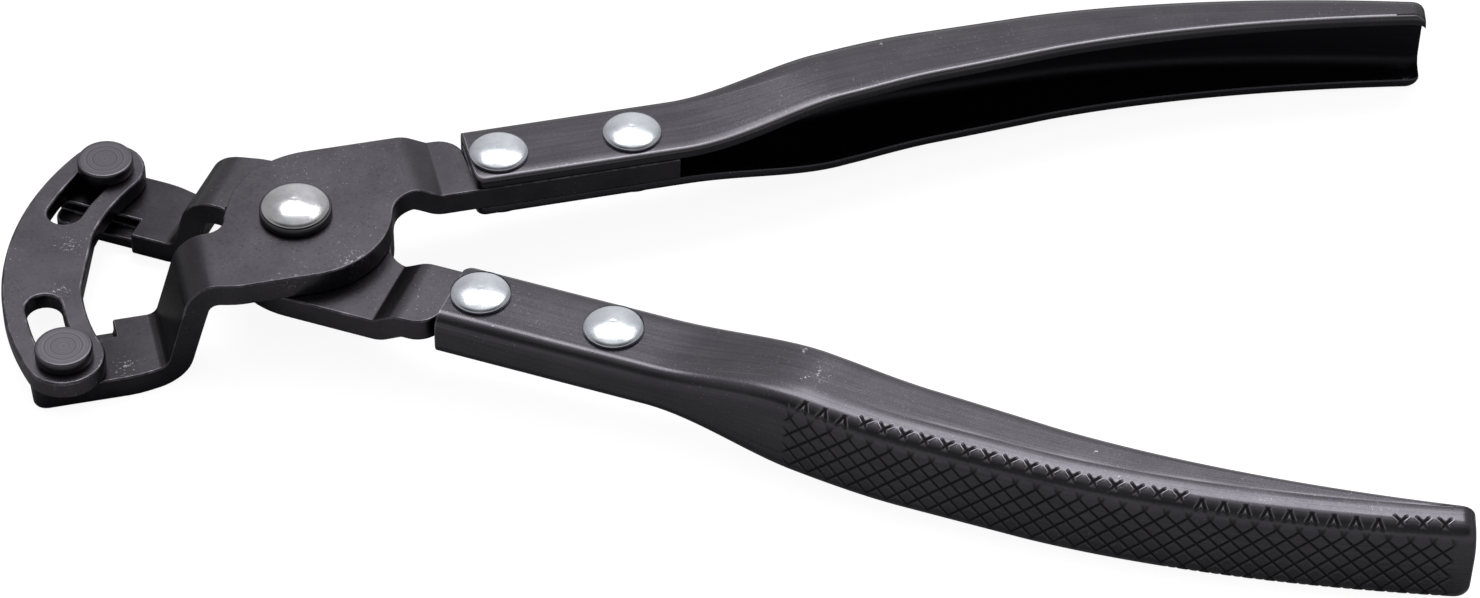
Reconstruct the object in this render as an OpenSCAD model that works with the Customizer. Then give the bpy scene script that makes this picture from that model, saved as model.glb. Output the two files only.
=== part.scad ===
// Lever pliers: two bent levers crossed on one rivet, a pressed channel riveted on each
// tang as a handle, and a slotted link that keeps the two jaw tips in one plane.
// Frame: +Z is the pivot axis and the origin lies on it, midway between the two levers.
// +X is the centre line towards the handles. The handles stand fully open.
// A lever is drawn along its own axis: u runs towards its handle, v across, z up.

/* [Opening] */
// Angle between each lever and the centre line when open
open_angle = 16.8; // [15:0.1:18.5]
// Angle through which each lever closes
close_angle = 17; // [12:0.5:17]

/* [Levers] */
// Thickness of the lever plate
plate_t = 4.5; // [3.5:0.1:5.5]
// Running gap between faces that slide on each other
slide_gap = 0.1; // [0.05:0.01:0.2]
// Radius of the plate round the pivot
hub_r = 16.4; // [15.5:0.1:19]
// Half width of the strip where it bends down to a jaw
waist_v = 15.3; // [15:0.1:17]
// Distance of the plate's far edge from the lever axis
plate_far_v = 16.3; // [15.5:0.1:19]
// Radius of the shoulder where the plate narrows to the tang
shoulder_r = 4.7; // [2:0.1:6]
// Depth of the jaws' top faces below the middle plane
jaw_depth = 12.4; // [11:0.1:16]
// Inside radius of the two bends behind a jaw
bend_r = 2.1; // [1.5:0.1:4]
// Steepness of the bend behind a jaw
bend_angle = 73; // [65:1:85]

/* [Jaws] */
// Distance from the pivot at which a jaw lies flat
jaw_root_u = 27.9; // [26.5:0.1:30]
// How much nearer the pivot the lower lever's bend ends
root_shift = 0.7; // [0:0.1:1.2]
// Jaw pin from the pivot, along the lever
pin_u = 43.7; // [42:0.1:50]
// Jaw pin from the lever axis
pin_v = 12.7; // [11.5:0.1:14]
// Jaw tip beyond its pin
tip_margin = 6.3; // [4:0.1:9]
// Outer edge of a jaw beyond its pin
outer_margin = 4.1; // [3.6:0.1:6]
// Inner edge of a jaw from the lever axis
jaw_inner_v = 1.4; // [1:0.1:3]
// Where the stepped grip at the tip begins
notch_u = 33.9; // [33:0.1:37]
// Set-back of the ledge from the jaw's inner edge
ledge_back = 0.95; // [0.5:0.05:2.5]
// Width of the ledge
ledge_w = 3.4; // [2:0.1:4]
// Depth of the rebate above the ledge
rebate_depth = 2.2; // [1:0.1:3]
// Radius of the round corner at the back of the mouth
throat_r = 3.4; // [1.5:0.1:3.6]

/* [Tangs] */
// Inner edge of a tang from the lever axis
tang_in_v = 1.3; // [0.5:0.1:1.8]
// Where the tang's crank starts, from the pivot
crank_u = 20.9; // [20:0.1:23]
// Middle radius of the crank's two bends
crank_r = 3.4; // [2.8:0.1:5]
// Steepness of the crank
crank_angle = 29; // [25:1:45]
// Concave radius between the tang and the pivot plate
crotch_r = 5.6; // [3:0.1:7]
// Tang beyond the rear handle rivet
tang_overrun = 7.5; // [6:0.1:9]

/* [Handles] */
// Sheet thickness of a handle
sheet_t = 2.1; // [1.5:0.1:2.5]
// Outside radius of a channel's long corners where it is riveted
corner_r = 2.8; // [2.6:0.1:3.6]
// Inside radius of the same corners
inner_corner_r = 0.3; // [0.1:0.05:0.5]
// Outside radius of the long corners along the grip
grip_corner_r = 4; // [3:0.1:5]
// Front end of a handle from the pivot
handle_start_u = 32.9; // [32.5:0.1:34]
// Rounding of the flanges' front corners
front_r = 1.6; // [0.5:0.1:2.5]
// Rounding of the flanges' long edges on the outside
edge_r = 1; // [0.4:0.1:1.2]
// Back of the channel from the lever axis, where it is riveted
web_v = 16.6; // [15.5:0.05:17.5]
// Flange width where the channel is riveted
flange_root_w = 15.2; // [14.5:0.1:16]
// Flange width at the end of the grip
flange_end_w = 6.8; // [5.5:0.1:9]
// Height of the grip
grip_h = 17.3; // [14:0.1:22]
// Where the channel starts to widen into the grip
flare_start_u = 71; // [70.5:0.5:76]
// Length over which the channel widens
flare_len = 28; // [22:0.5:36]
// How far the grip stands out from the riveted part
grip_bow = 4.7; // [1:0.05:6]
// Length over which the grip swings out
bow_len = 48.1; // [40:0.1:60]
// Where the grip starts to curve back in
hook_start_u = 139.5; // [130:0.5:150]
// How far the end of the grip curves back in
hook_in = 12.7; // [8:0.1:14]
// End of the grip from the pivot
handle_end_u = 213.8; // [200:0.1:225]
// Radius of the grip's end corners
end_r = 2.3; // [1.5:0.1:4]

/* [Link] */
// Thickness of the link
link_t = 3.5; // [2.5:0.1:5]
// Half width of the link round its slots
link_half_w = 7.1; // [6.2:0.1:8.5]
// Half length of the straight stretch on the link's inner edge
link_flat_y = 6.9; // [5:0.1:12]

/* [Rivets and pins] */
// Shank radius of the pivot rivet
pivot_shank_r = 4; // [3:0.1:4.6]
// Head radius of the pivot rivet
pivot_head_r = 6.05; // [5.4:0.05:7]
// Rim height of the pivot rivet's heads
pivot_rim = 0.5; // [0.3:0.1:1]
// Dome height of the pivot rivet's heads
pivot_dome = 1.5; // [0.8:0.1:2.5]
// Radius of the washer under the top head
washer_r = 6.4; // [6.1:0.1:8]
// Thickness of the washer
washer_t = 1.5; // [1:0.1:3]
// Distance of the front handle rivet from the pivot
rivet_u = 38.1; // [37.5:0.1:41]
// Distance between the two rivets of a handle
rivet_pitch = 24.5; // [20:0.1:25.5]
// Distance of the handle rivets from the lever axis
rivet_v = 7.9; // [7:0.1:8.6]
// Shank radius of the handle rivets
rivet_shank_r = 2.6; // [2:0.1:3.2]
// Head radius of the handle rivets
rivet_head_r = 5.3; // [4.5:0.1:5.3]
// Rim height of the handle rivets' heads
rivet_rim = 0.7; // [0.4:0.1:1.2]
// Dome height of the handle rivets' heads
rivet_dome = 1.1; // [0.6:0.1:2]
// Radius of a jaw pin where it runs in its slot
pin_r = 3.1; // [2.6:0.1:3.4]
// Radius of a jaw pin's riveted end
pin_tail_r = 2.5; // [2:0.1:2.6]
// Head radius of a jaw pin
pin_head_r = 5.05; // [4.4:0.05:6.5]
// Head height of a jaw pin
pin_head_h = 2.35; // [1.5:0.05:3.5]
// Bevel on the edge of a jaw pin's head
pin_bevel = 0.35; // [0.1:0.05:0.6]
// Depth of the countersink under a jaw
countersink = 0.9; // [0.5:0.1:1.2]

/* [Clearances] */
// Running clearance of the pivot rivet and of the pins in their slots
run_fit = 0.06; // [0.03:0.01:0.1]
// Clearance of riveted shanks in their holes
rivet_fit = 0.02; // [0.01:0.01:0.04]
// Clearance between a tang and the channel round it
seat_fit = 0.02; // [0.01:0.01:0.04]
// Clearance between a tang's edge and the back of the channel
web_gap = 0.4; // [0.3:0.05:1]

/* [Hidden] */
$fn = 72;

plate_z = (plate_t + slide_gap) / 2;
jaw_top = -jaw_depth;
jaw_z = jaw_top - plate_t / 2;
link_bottom = jaw_top + slide_gap;
pin_seat = link_bottom + link_t + slide_gap;
washer_bottom = plate_z + plate_t / 2 + slide_gap / 2;
jaw_outer_v = pin_v + outer_margin;
jaw_tip_u = pin_u + tip_margin;
jaw_corner_r = 2.4;
tang_out_v = web_v - sheet_t - web_gap;
tang_end_u = rivet_u + rivet_pitch + tang_overrun;
shoulder_u = handle_start_u - 0.4;
hub_u = 0.7;
far_hub_r = hub_r + 0.4;
far_hub_u = 4.5;
step_v = 4.8;
throat_u = -12.6;
waist_u = 4.7 - jaw_root_u;
waist_len = 10;
hub_len = 7;
root_half_h = plate_t / 2 + seat_fit + sheet_t;
hook_power = 1.71;
taper_power = 1.24;
slot_half_w = pin_r + run_fit;
pin_reach = norm([pin_u, pin_v]);
pin_angle = open_angle + atan2(pin_v, pin_u);
tall = 5 * (jaw_depth + plate_t);

steel = [0.33, 0.33, 0.35];
zinc = [0.76, 0.78, 0.80];
black = [0.17, 0.17, 0.18];

// Points on an arc about c, from angle a0 to a1 in n steps
function arc(c, r, a0, a1, n) =
    [for (i = [0:n]) let (a = a0 + (a1 - a0) * i / n) c + r * [cos(a), sin(a)]];
function reversed(p) = [for (i = [len(p) - 1:-1:0]) p[i]];
function smooth(t) = let (c = max(0, min(1, t))) c * c * (3 - 2 * c);

// Plan outline of a lever, from the tang round by the far edge, the jaw and the hub
crotch_a = asin((crotch_r - tang_in_v) / (hub_r + crotch_r));
crotch_c = [hub_u + (hub_r + crotch_r) * cos(crotch_a), tang_in_v - crotch_r];
far_hub_c = [far_hub_u, plate_far_v - far_hub_r];
far_end_a = 180 - asin((step_v - far_hub_c[1]) / far_hub_r);
lever_outline = concat(
    [[tang_end_u, tang_in_v], [tang_end_u, tang_out_v], [shoulder_u, tang_out_v]],
    arc([shoulder_u, plate_far_v] - shoulder_r * [1, 1], shoulder_r, 0, 90, 8),
    arc(far_hub_c, far_hub_r, 90, far_end_a, 14),
    [[throat_u + 1.1, step_v]],
    arc([throat_u - throat_r, throat_r - jaw_inner_v], throat_r, 0, -90, 8),
    [[-notch_u, -jaw_inner_v], [-notch_u - 0.3, -jaw_inner_v - ledge_back]],
    arc([jaw_corner_r - jaw_tip_u, -jaw_inner_v - ledge_back - jaw_corner_r],
        jaw_corner_r, 90, 180, 6),
    arc([jaw_corner_r - jaw_tip_u, jaw_corner_r - jaw_outer_v], jaw_corner_r, 180, 270, 6),
    [for (i = [0:6]) let (t = i / 6)
        [waist_u - waist_len * (1 - t), -jaw_outer_v + (jaw_outer_v - waist_v) * smooth(t)]],
    [for (i = [0:5]) let (t = i / 5)
        [waist_u + 4 + hub_len * t, -waist_v - (hub_r - waist_v) * smooth(t)]],
    arc([hub_u, 0], hub_r, -90, -crotch_a, 14),
    arc(crotch_c, crotch_r, 180 - crotch_a, 90, 8)
);

// One face of a bent strip where it steps from level z0 to z1: an arc, a slope, an arc back.
// The strip runs in direction way (1 or -1) from u0; face is the height above its middle.
function rise(z0, z1) = sign(z1 - z0);
function slope_len(z0, z1, ang, r) = (abs(z1 - z0) - 2 * r * (1 - cos(ang))) / sin(ang);
function step_run(z0, z1, ang, r) = 2 * r * sin(ang) + slope_len(z0, z1, ang, r) * cos(ang);
function step_face(u0, way, z0, z1, ang, r, face, n) =
    let (s = rise(z0, z1), u1 = u0 + way * step_run(z0, z1, ang, r))
    concat(
        [for (i = [0:n]) let (a = ang * i / n)
            [u0 + way * (r - s * face) * sin(a), z0 + s * r - (s * r - face) * cos(a)]],
        [for (i = [n:-1:0]) let (a = ang * i / n)
            [u1 - way * (r + s * face) * sin(a), z1 - s * r + (s * r + face) * cos(a)]]
    );

// Side view of a lever: tang, crank, plate, deep bend and jaw, at plate height pz
bend_mid_r = bend_r + plate_t / 2;
function bend_start(pz) =
    step_run(pz, jaw_z, bend_angle, bend_mid_r) - jaw_root_u + (pz < 0 ? root_shift : 0);
function lever_face(pz, face) = concat(
    [[tang_end_u + 1, face]],
    reversed(step_face(crank_u, 1, pz, 0, crank_angle, crank_r, face, 4)),
    step_face(bend_start(pz), -1, pz, jaw_z, bend_angle, bend_mid_r, face, 10),
    [[-jaw_tip_u - 1, jaw_z + face]]
);

module bore(u, v, r) {
    translate([u, v, -tall / 2]) cylinder(r = r, h = tall);
}

module lever_blank(pz) {
    intersection() {
        translate([0, 0, -tall / 2]) linear_extrude(tall) polygon(lever_outline);
        rotate([90, 0, 0]) linear_extrude(tall, center = true)
            polygon(concat(lever_face(pz, plate_t / 2), reversed(lever_face(pz, -plate_t / 2))));
    }
}

// Rebate in the jaw's top face that leaves the ledge standing
module jaw_rebate() {
    depth_v = ledge_back + ledge_w;
    translate([-jaw_tip_u - 1, -jaw_inner_v - depth_v, jaw_top - rebate_depth])
        cube([jaw_tip_u + 1 - notch_u, depth_v + 2, rebate_depth + 1]);
}

module pin_hole() {
    bore(-pin_u, -pin_v, pin_tail_r + rivet_fit);
    translate([-pin_u, -pin_v, jaw_top - plate_t])
        tail_cone(pin_tail_r + rivet_fit, countersink);
}

// Flared end of a riveted pin, widest at the bottom
module tail_cone(r, depth) {
    cylinder(r1 = r + depth, r2 = r, h = depth);
}

// A lever in its own axes; the pivot hole runs on the rivet or is set fast on it
module lever(pz, pivot_fit) {
    difference() {
        lever_blank(pz);
        jaw_rebate();
        bore(0, 0, pivot_shank_r + pivot_fit);
        pin_hole();
        for (i = [0, 1]) bore(rivet_u + i * rivet_pitch, rivet_v, rivet_shank_r + rivet_fit);
    }
}

// Back of the channel from the lever axis, at u
function web_line(u) =
    web_v + grip_bow * smooth((u - flare_start_u) / bow_len)
    - hook_in * pow(max(0, u - hook_start_u) / (handle_end_u - hook_start_u), hook_power);
function rounding(r, x) = r - sqrt(r * r - pow(min(r, max(0, x)), 2));
function flange_w(u) = let (u0 = flare_start_u + flare_len + 4)
    flange_root_w - rounding(front_r, handle_start_u + front_r - u)
    - (flange_root_w - flange_end_w)
    * pow(max(0, u - u0) / (handle_end_u - u0), taper_power);
function flare(u) = smooth((u - flare_start_u) / flare_len);
function half_h(u) = root_half_h + (grip_h / 2 - root_half_h) * flare(u)
    - rounding(end_r, u - handle_end_u + end_r);
function outer_r(u) = corner_r + (grip_corner_r - corner_r) * flare(u);
function inner_r(u) =
    inner_corner_r + (grip_corner_r - sheet_t - inner_corner_r) * flare(u);

// Half of a channel section, from the flange's edge to the web: d inwards, z up.
// The corner is centred r + inset from the back and from the top.
function corner(h, r, inset) = arc([r + inset, h - r - inset], r, 90, 180, 5);
function outside(w, h, r) =
    concat(arc([w - edge_r, h - edge_r], edge_r, 0, 90, 3), corner(h, r, 0));
function inside(w, h, r) =
    concat([for (i = [0:3]) [w - edge_r * i / 3, h - sheet_t]], corner(h, r, sheet_t));
function mirrored(top) = concat(top, [for (p = reversed(top)) [p[0], -p[1]]]);

// The section at u, square to the back of the channel
function placed(u, pts) =
    let (
        slope = web_line(u + 0.5) - web_line(u - 0.5),
        across = [slope, -1] / norm([slope, -1])
    )
    [for (p = pts) [u + p[0] * across[0], web_line(u) + p[0] * across[1], p[1]]];
function ring(u) = placed(u, concat(
    mirrored(outside(flange_w(u), half_h(u), outer_r(u))),
    reversed(mirrored(inside(flange_w(u), half_h(u), inner_r(u))))
));

stations = concat(
    [for (a = [0:30:90]) handle_start_u + front_r * (1 - cos(a))],
    [for (i = [0:14]) flare_start_u + flare_len * i / 14],
    [for (i = [1:20]) let (u0 = flare_start_u + flare_len)
        u0 + (handle_end_u - end_r - u0) * i / 20],
    [for (a = [20:20:80]) handle_end_u - end_r * (1 - sin(a))]
);

// Pressed channel of a handle, in the lever's axes
module channel() {
    rings = [for (u = stations) ring(u)];
    n = len(rings[0]);
    last = len(rings) - 1;
    half = n / 2;
    walls = [for (k = [0:last - 1], j = [0:n - 1]) let (j2 = (j + 1) % n)
        [k * n + j, k * n + j2, (k + 1) * n + j2, (k + 1) * n + j]];
    front = [for (j = [0:half - 2]) [j + 1, j, n - 1 - j, n - 2 - j]];
    back = [for (j = [0:half - 2]) let (b = last * n)
        [b + j, b + j + 1, b + n - 2 - j, b + n - 1 - j]];
    polyhedron(points = [for (r = rings, p = r) p], faces = concat(walls, front, back));
}

module handle() {
    difference() {
        channel();
        for (i = [0, 1]) bore(rivet_u + i * rivet_pitch, rivet_v, rivet_shank_r + rivet_fit);
    }
}

// Low dome on a short rim, standing on z = 0
module rivet_head(r, rim, dome) {
    ball_r = (r * r + dome * dome) / (2 * dome);
    cylinder(r = r, h = rim);
    intersection() {
        translate([0, 0, rim - 0.01]) cylinder(r = r, h = dome + 1);
        translate([0, 0, rim + dome - ball_r]) sphere(r = ball_r, $fn = 144);
    }
}

// Rivet with a dome at each end, from the seat at z0 to the seat at z1
module domed_rivet(z0, z1, shank_r, head_r, rim, dome) {
    translate([0, 0, z0]) cylinder(r = shank_r, h = z1 - z0);
    translate([0, 0, z1]) rivet_head(head_r, rim, dome);
    translate([0, 0, z0]) mirror([0, 0, 1]) rivet_head(head_r, rim, dome);
}

module handle_rivet(i) {
    translate([rivet_u + i * rivet_pitch, rivet_v, 0])
        domed_rivet(-root_half_h, root_half_h, rivet_shank_r, rivet_head_r, rivet_rim, rivet_dome);
}

// Turned pin: flat bevelled head, shank in the slot, riveted tail flush under the jaw
module jaw_pin() {
    translate([-pin_u, -pin_v, 0]) {
        translate([0, 0, pin_seat]) cylinder(r = pin_head_r, h = pin_head_h - pin_bevel);
        translate([0, 0, pin_seat + pin_head_h - pin_bevel])
            cylinder(r1 = pin_head_r, r2 = pin_head_r - pin_bevel, h = pin_bevel);
        translate([0, 0, jaw_top]) cylinder(r = pin_r, h = pin_seat - jaw_top);
        translate([0, 0, jaw_top - plate_t]) cylinder(r = pin_tail_r, h = plate_t);
        translate([0, 0, jaw_top - plate_t]) tail_cone(pin_tail_r, countersink - rivet_fit);
    }
}

// Places a lever's pieces: the upper one turned open, the lower one mirrored to it
module upper_side() {
    rotate([0, 0, open_angle]) children();
}
module lower_side() {
    mirror([0, 1, 0]) rotate([0, 0, open_angle]) children();
}

// Outline of the link: concentric with the pivot, round ends about the open pins
function on_ring(r, a) = r * [-cos(a), sin(a)];
inner_ring_r = pin_reach - link_half_w;
flat_a = asin(link_flat_y / inner_ring_r);
link_outline = concat(
    [for (i = [-16:16]) on_ring(pin_reach + link_half_w, pin_angle * i / 16)],
    arc(on_ring(pin_reach, pin_angle), link_half_w, 180 - pin_angle, -pin_angle, 16),
    [for (i = [8:-1:0]) on_ring(inner_ring_r, flat_a + (pin_angle - flat_a) * i / 8)],
    [for (i = [0:8]) on_ring(inner_ring_r, -flat_a - (pin_angle - flat_a) * i / 8)],
    arc(on_ring(pin_reach, -pin_angle), link_half_w, pin_angle, pin_angle - 180, 16)
);

// Slot on the pins' own arc, from the open pin's place to the closed pin's place
slot_outline = concat(
    [for (i = [0:12]) on_ring(pin_reach + slot_half_w, pin_angle - close_angle * i / 12)],
    arc(on_ring(pin_reach, pin_angle - close_angle), slot_half_w,
        180 - pin_angle + close_angle, 360 - pin_angle + close_angle, 12),
    [for (i = [12:-1:0]) on_ring(pin_reach - slot_half_w, pin_angle - close_angle * i / 12)],
    arc(on_ring(pin_reach, pin_angle), slot_half_w, -pin_angle, 180 - pin_angle, 12)
);

module slotted_link() {
    color(steel) translate([0, 0, link_bottom]) difference() {
        linear_extrude(link_t) polygon(link_outline);
        for (side = [0, 1]) mirror([0, side, 0])
            translate([0, 0, -1]) linear_extrude(link_t + 2) polygon(slot_outline);
    }
}

module upper_lever() {
    color(steel) upper_side() lever(plate_z, run_fit);
}
module lower_lever() {
    color(steel) lower_side() lever(-plate_z, rivet_fit);
}
module upper_handle() {
    color(steel) upper_side() handle();
}
module lower_handle() {
    color(steel) lower_side() handle();
}
module pivot_washer() {
    color(black) translate([0, 0, washer_bottom]) difference() {
        cylinder(r = washer_r, h = washer_t);
        bore(0, 0, pivot_shank_r + rivet_fit);
    }
}
module pivot_rivet() {
    color(zinc) domed_rivet(-plate_z - plate_t / 2, washer_bottom + washer_t, pivot_shank_r,
        pivot_head_r, pivot_rim, pivot_dome);
}

upper_lever();
lower_lever();
upper_handle();
lower_handle();
color(zinc) upper_side() handle_rivet(0);  // upper_handle_rivet_1
color(zinc) upper_side() handle_rivet(1);  // upper_handle_rivet_2
color(zinc) lower_side() handle_rivet(0);  // lower_handle_rivet_1
color(zinc) lower_side() handle_rivet(1);  // lower_handle_rivet_2
color(black) upper_side() jaw_pin();  // upper_jaw_pin
color(black) lower_side() jaw_pin();  // lower_jaw_pin
slotted_link();
pivot_washer();
pivot_rivet();
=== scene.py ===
"""Looks of the lever pliers: black-oxide levers and knurled channel handles, zinc rivets."""

import math

import bmesh
import bpy
import numpy as np
from mathutils import Matrix, Vector


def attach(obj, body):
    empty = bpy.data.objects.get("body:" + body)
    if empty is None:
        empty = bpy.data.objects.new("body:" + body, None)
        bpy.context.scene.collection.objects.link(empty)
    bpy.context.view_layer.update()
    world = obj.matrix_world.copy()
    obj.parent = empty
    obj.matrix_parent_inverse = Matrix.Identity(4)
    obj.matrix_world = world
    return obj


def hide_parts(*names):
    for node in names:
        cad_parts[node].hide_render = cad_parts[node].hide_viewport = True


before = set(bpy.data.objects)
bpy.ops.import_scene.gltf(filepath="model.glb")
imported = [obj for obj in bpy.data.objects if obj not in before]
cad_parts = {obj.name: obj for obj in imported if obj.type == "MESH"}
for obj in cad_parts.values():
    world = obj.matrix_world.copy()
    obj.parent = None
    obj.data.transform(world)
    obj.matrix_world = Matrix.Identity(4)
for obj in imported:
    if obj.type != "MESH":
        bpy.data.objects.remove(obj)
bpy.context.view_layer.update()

MM = 0.001

# Sizes in millimetres and the angle of opening, the same as in the part's source. In their
# names, u runs along a lever from the pivot towards its handle and v across it
OPEN_ANGLE = math.radians(16.8)
PLATE_T, JAW_DEPTH, LINK_T, SHEET = 4.5, 12.4, 3.5, 2.1
SLIDE_GAP, SEAT_FIT, RIVET_FIT = 0.1, 0.02, 0.02
# The channel's back: its distance from the lever's line, its bow and its hook
WEB_V, GRIP_BOW, FLARE_START, BOW_LEN = 16.6, 4.7, 71.0, 48.1
HOOK_START, HOOK_IN, HOOK_POWER = 139.5, 12.7, 1.71
# The channel's ends, flare, flanges, height and corners
HANDLE_START, HANDLE_END, FLARE_LEN = 32.9, 213.8, 28.0
FLANGE_ROOT, FLANGE_END, TAPER_POWER, TAPER_DELAY = 15.2, 6.8, 1.24, 4
GRIP_H, EDGE_R, FRONT_R, END_R = 17.3, 1.0, 1.6, 2.3
CORNER_R, GRIP_CORNER_R, INNER_CORNER_R = 2.8, 4.0, 0.3
# Rivets, washer and jaw pins
RIVET_U, RIVET_PITCH, RIVET_V = 38.1, 24.5, 7.9
RIVET_SHANK_R, RIVET_HEAD_R, RIVET_RIM, RIVET_DOME = 2.6, 5.3, 0.7, 1.1
PIVOT_SHANK_R, PIVOT_HEAD_R, PIVOT_RIM, PIVOT_DOME = 4.0, 6.05, 0.5, 1.5
WASHER_R, WASHER_T = 6.4, 1.5
PIN_U, PIN_V, PIN_R, PIN_HEAD_R, PIN_HEAD_H = 43.7, 12.7, 3.1, 5.05, 2.35
PIN_TAIL_R, COUNTERSINK = 2.5, 0.9
# Heights that follow from them
PLATE_TOP = PLATE_T + SLIDE_GAP / 2
WASHER_BOTTOM = PLATE_TOP + SLIDE_GAP / 2
ROOT_HALF_H = PLATE_T / 2 + SEAT_FIT + SHEET
LINK_TOP = -JAW_DEPTH + SLIDE_GAP + LINK_T
PIN_SEAT = LINK_TOP + SLIDE_GAP


def linear(hex_colour):
    """Turns an sRGB hex colour into linear red, green, blue and alpha."""
    parts = [int(hex_colour[i : i + 2], 16) / 255 for i in (1, 3, 5)]
    return [c / 12.92 if c <= 0.04045 else ((c + 0.055) / 1.055) ** 2.4 for c in parts] + [1.0]


# Camera and light

PHOTO_W, PHOTO_H = 1480, 598
SENSOR_MM = 36.0
# Solved from the photo: focal length and centre in pixels, turns in radians, and the shift and
# the pivot rivet's rim in millimetres
FOCAL_PX = 4630.985
CENTRE_PX = (742.323, 293.850)
YAW, ELEVATION, ROLL = -0.027621, 0.747241, 0.025257
SHIFT = np.array([-78.48965, 15.41493, 813.17413])
RIM_HEIGHT = 6.334


def photo_camera():
    """Camera solved from the photo: its axes are yaw about Z, then elevation, then roll, and
    its place is minus the rotated shift, raised to the pivot rivet's rim."""
    forward = np.array(
        [
            math.sin(YAW) * math.cos(ELEVATION),
            math.cos(YAW) * math.cos(ELEVATION),
            -math.sin(ELEVATION),
        ]
    )
    flat_right = np.array([math.cos(YAW), -math.sin(YAW), 0.0])
    flat_up = np.cross(flat_right, forward)
    right = math.cos(ROLL) * flat_right + math.sin(ROLL) * flat_up
    up = -math.sin(ROLL) * flat_right + math.cos(ROLL) * flat_up
    place = -np.stack([right, up, forward]).T @ SHIFT + [0, 0, RIM_HEIGHT]
    turn = Matrix([[right[i], up[i], -forward[i]] for i in range(3)]).to_4x4()
    data = bpy.data.cameras.new("photo_camera")
    data.sensor_width = SENSOR_MM
    data.lens = SENSOR_MM * FOCAL_PX / PHOTO_W
    data.shift_x = (PHOTO_W / 2 - CENTRE_PX[0]) / PHOTO_W
    data.shift_y = (CENTRE_PX[1] - PHOTO_H / 2) / PHOTO_W
    data.clip_start = 0.01
    camera = bpy.data.objects.new("photo_camera", data)
    camera.matrix_world = Matrix.Translation(Vector(place * MM)) @ turn
    bpy.context.scene.collection.objects.link(camera)
    bpy.context.scene.camera = camera


# The lamp's sizes and places in metres, and its tilt from overhead towards +Y
LAMP_AIM, LAMP_DISTANCE, LAMP_TILT = (0.06, 0, 0), 1.2, math.radians(28)
LAMP_WIDTH, LAMP_DEPTH, LAMP_RADIANCE = 0.92, 0.44, 4.8


def overhead_softbox():
    """Rectangular lamp of even radiance that faces the tool: power is pi times its area times
    its radiance."""
    data = bpy.data.lights.new("overhead_softbox", "AREA")
    data.shape = "RECTANGLE"
    data.size = LAMP_WIDTH
    data.size_y = LAMP_DEPTH
    data.energy = math.pi * LAMP_WIDTH * LAMP_DEPTH * LAMP_RADIANCE
    lamp = bpy.data.objects.new("overhead_softbox", data)
    way = Vector((0, math.sin(LAMP_TILT), math.cos(LAMP_TILT)))
    lamp.location = Vector(LAMP_AIM) + way * LAMP_DISTANCE
    lamp.rotation_euler = way.to_track_quat("Z", "Y").to_euler()
    bpy.context.scene.collection.objects.link(lamp)


# Shader building


def new_material(name):
    """Empty node material with its output and one Principled shader."""
    material = bpy.data.materials.new(name)
    material.use_nodes = True
    tree = material.node_tree
    tree.nodes.clear()
    output = tree.nodes.new("ShaderNodeOutputMaterial")
    shader = tree.nodes.new("ShaderNodeBsdfPrincipled")
    tree.links.new(shader.outputs["BSDF"], output.inputs["Surface"])
    return material, tree, shader


def add(tree, kind, inputs=None, **settings):
    """Adds one node: settings are its properties, inputs its values or incoming links."""
    node = tree.nodes.new("ShaderNode" + kind)
    for key, value in settings.items():
        setattr(node, key, value)
    for key, value in (inputs or {}).items():
        if isinstance(value, bpy.types.NodeSocket):
            tree.links.new(value, node.inputs[key])
        else:
            node.inputs[key].default_value = value
    return node


def finish_metal(tree, shader, colour, rough, height):
    """Links a metal's colour, roughness and height, in metres, to its shader."""
    bump = add(tree, "Bump", {"Height": height, "Strength": 1.0, "Distance": 1.0})
    shader.inputs["Metallic"].default_value = 1.0
    tree.links.new(colour, shader.inputs["Base Color"])
    tree.links.new(rough, shader.inputs["Roughness"])
    tree.links.new(bump.outputs["Normal"], shader.inputs["Normal"])


def per_mm(size_mm):
    """Noise scale on Object coordinates, in metres, for features of a size in millimetres."""
    return 1.0 / (size_mm * MM)


# Black oxide

# Sizes in millimetres of the bath's clouds, the steel's grain, dust and its patches, rubbed
# spots, and the length, width and depth of the rolling marks that a drawn sheet keeps
CLOUD_MM, GRAIN_MM, DUST_MM, PATCH_MM, RUB_MM = 9, 0.55, 0.42, 14, 3.2
STREAK_LENGTH_MM, STREAK_WIDTH_MM, STREAK_DEPTH_MM = 26, 0.45, 0.006
GRAIN_DEPTH_MM = 0.004
# Object X, in millimetres, where a lever's hardened jaw begins and where it is darkest
JAW_FROM_X, JAW_FULL_X = -4, -32


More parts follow.
